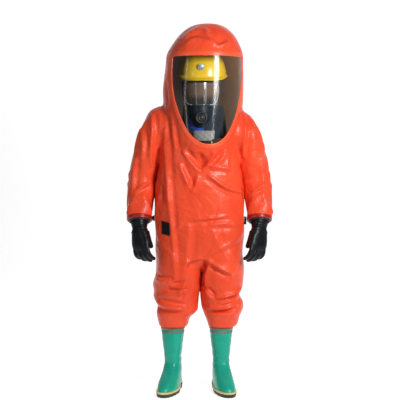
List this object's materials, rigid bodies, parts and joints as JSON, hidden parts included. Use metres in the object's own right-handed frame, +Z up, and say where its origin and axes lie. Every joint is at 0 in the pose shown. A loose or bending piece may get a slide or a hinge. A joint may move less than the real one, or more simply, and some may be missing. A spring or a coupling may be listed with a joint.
{
  "type": "chemical protective suit",
  "caption": "Gas-tight hooded protective suit standing as worn, with wrap-round visor, helmet and mask inside, attached gloves and boots, rear zip, valves and air fitting.",
  "frame": {"origin": "middle of the bounding box in X and Y, on the floor under the boots", "axes": "+Z up, the suit faces -Y, the wearer's left arm is at +X"},
  "size_m": [0.742, 0.4905, 1.89],
  "materials": {
    "suit_fabric": "glossy coated fabric",
    "visor_clear": "clear flexible film",
    "cuff_red": "moulded, satin",
    "glove_rubber": "smooth, slightly glossy",
    "boot_rubber": "smooth, glossy",
    "sole_rubber": "matt",
    "black_plastic": "moulded, fine grain",
    "webbing": "woven",
    "helmet_yellow": "glossy",
    "mask_navy": "satin",
    "bib_grey": "woven, matt",
    "metal": "brushed"
  },
  "bodies": {
    "suit": {"torso_shell": "suit_fabric", "chest_shell": "suit_fabric", "hood_shell": "suit_fabric", "visor_frame": "suit_fabric", "visor_lens": "visor_clear", "mask_lens": "visor_clear", "valve_flange_left": "black_plastic", "valve_flange_right": "black_plastic", "valve_cap_left": "black_plastic", "valve_cap_right": "black_plastic", "passthrough_flange": "black_plastic", "passthrough_body": "black_plastic", "belt_buckle_socket": "black_plastic", "helmet_badge": "black_plastic", "helmet_headband": "black_plastic", "mask_connector": "black_plastic", "mask_adapter_left": "black_plastic", "mask_adapter_right": "black_plastic", "zip_tape": "webbing", "belt_webbing_left": "webbing", "belt_webbing_right": "webbing", "hook_patch": "webbing", "helmet_crown_tab": "webbing", "helmet_shell": "helmet_yellow", "mask_rim": "mask_navy", "mask_facepiece": "mask_navy", "demand_valve": "mask_navy", "inner_bib": "bib_grey", "zip_chain": "metal"},
    "slider": {"zip_slider": "metal", "zip_pull": "metal"},
    "flap": {"zip_flap": "suit_fabric"},
    "valve_disc_left": {"valve_disc_left": "glove_rubber"},
    "valve_disc_right": {"valve_disc_right": "glove_rubber"},
    "air_cap": {"passthrough_cap": "black_plastic"},
    "buckle_tongue": {"belt_buckle_tongue": "black_plastic"},
    "knob": {"helmet_knob": "black_plastic"},
    "purge_button": {"purge_button": "black_plastic"},
    "arm_right": {"sleeve_upper_right": "suit_fabric"},
    "forearm_right": {"sleeve_lower_right": "suit_fabric", "cuff_ring_right": "cuff_red"},
    "hand_right": {"glove_ring_right": "black_plastic", "glove_right": "glove_rubber"},
    "thigh_right": {"leg_right": "suit_fabric"},
    "shin_right": {"leg_cuff_right": "suit_fabric", "boot_clamp_right": "metal", "boot_upper_right": "boot_rubber", "boot_sole_right": "sole_rubber", "heel_lug_right": "sole_rubber"},
    "arm_left": {"sleeve_upper_left": "suit_fabric"},
    "forearm_left": {"sleeve_lower_left": "suit_fabric", "cuff_ring_left": "cuff_red"},
    "hand_left": {"glove_ring_left": "black_plastic", "glove_left": "glove_rubber"},
    "thigh_left": {"leg_left": "suit_fabric"},
    "shin_left": {"leg_cuff_left": "suit_fabric", "boot_clamp_left": "metal", "boot_upper_left": "boot_rubber", "boot_sole_left": "sole_rubber", "heel_lug_left": "sole_rubber"}
  },
  "joints": [
    {"name": "zip_slide", "type": "slide", "parent": "suit", "child": "slider", "axis": [0, -0.0995, -0.995], "range_m": [0, 0.59]},
    {"name": "flap_hinge", "type": "hinge", "parent": "suit", "child": "flap", "pos_m": [0.043, 0.195, 1.1], "axis": [0, -0.0995, -0.995], "range_deg": [0, 100]},
    {"name": "valve_lift_left", "type": "slide", "parent": "suit", "child": "valve_disc_left", "axis": [0.7416, 0.6686, -0.0549], "range_m": [0, 0.003], "stiffness_N_per_m": 60},
    {"name": "valve_lift_right", "type": "slide", "parent": "suit", "child": "valve_disc_right", "axis": [-0.7416, 0.6686, -0.0549], "range_m": [0, 0.003], "stiffness_N_per_m": 60},
    {"name": "air_cap_pull", "type": "slide", "parent": "suit", "child": "air_cap", "axis": [-0.9575, 0.2876, -0.0206], "range_m": [0, 0.03]},
    {"name": "buckle_slide", "type": "slide", "parent": "suit", "child": "buckle_tongue", "axis": [0, -1, 0], "range_m": [0, 0.03]},
    {"name": "knob_spin", "type": "hinge", "parent": "suit", "child": "knob", "pos_m": [0.018, 0.0865, 1.616], "axis": [0, 1, 0], "continuous": true},
    {"name": "purge_press", "type": "slide", "parent": "suit", "child": "purge_button", "axis": [0, 1, 0], "range_m": [0, 0.0025], "stiffness_N_per_m": 300},
    {"name": "shoulder_right", "type": "hinge", "parent": "suit", "child": "arm_right", "pos_m": [-0.1875, -0.0285, 1.335], "axis": [-1, 0, 0], "range_deg": [0, 80]},
    {"name": "elbow_right", "type": "hinge", "parent": "arm_right", "child": "forearm_right", "pos_m": [-0.3, -0.0285, 1.1], "axis": [-1, 0, 0], "range_deg": [0, 60]},
    {"name": "glove_twist_right", "type": "hinge", "parent": "forearm_right", "child": "hand_right", "pos_m": [-0.3055, -0.0955, 0.902], "axis": [0, -0.3746, -0.9272], "range_deg": [-15, 15]},
    {"name": "hip_right", "type": "hinge", "parent": "suit", "child": "thigh_right", "pos_m": [-0.12, -0.0285, 0.82], "axis": [-1, 0, 0], "range_deg": [-10, 25]},
    {"name": "knee_right", "type": "hinge", "parent": "thigh_right", "child": "shin_right", "pos_m": [-0.1375, -0.0285, 0.5], "axis": [1, 0, 0], "range_deg": [0, 42]},
    {"name": "shoulder_left", "type": "hinge", "parent": "suit", "child": "arm_left", "pos_m": [0.1875, -0.0285, 1.335], "axis": [-1, 0, 0], "range_deg": [0, 80]},
    {"name": "elbow_left", "type": "hinge", "parent": "arm_left", "child": "forearm_left", "pos_m": [0.3, -0.0285, 1.1], "axis": [-1, 0, 0], "range_deg": [0, 60]},
    {"name": "glove_twist_left", "type": "hinge", "parent": "forearm_left", "child": "hand_left", "pos_m": [0.3055, -0.0955, 0.902], "axis": [0, -0.3746, -0.9272], "range_deg": [-15, 15]},
    {"name": "hip_left", "type": "hinge", "parent": "suit", "child": "thigh_left", "pos_m": [0.12, -0.0285, 0.82], "axis": [-1, 0, 0], "range_deg": [-10, 25]},
    {"name": "knee_left", "type": "hinge", "parent": "thigh_left", "child": "shin_left", "pos_m": [0.1125, -0.0285, 0.5], "axis": [1, 0, 0], "range_deg": [0, 42]}
  ]
}
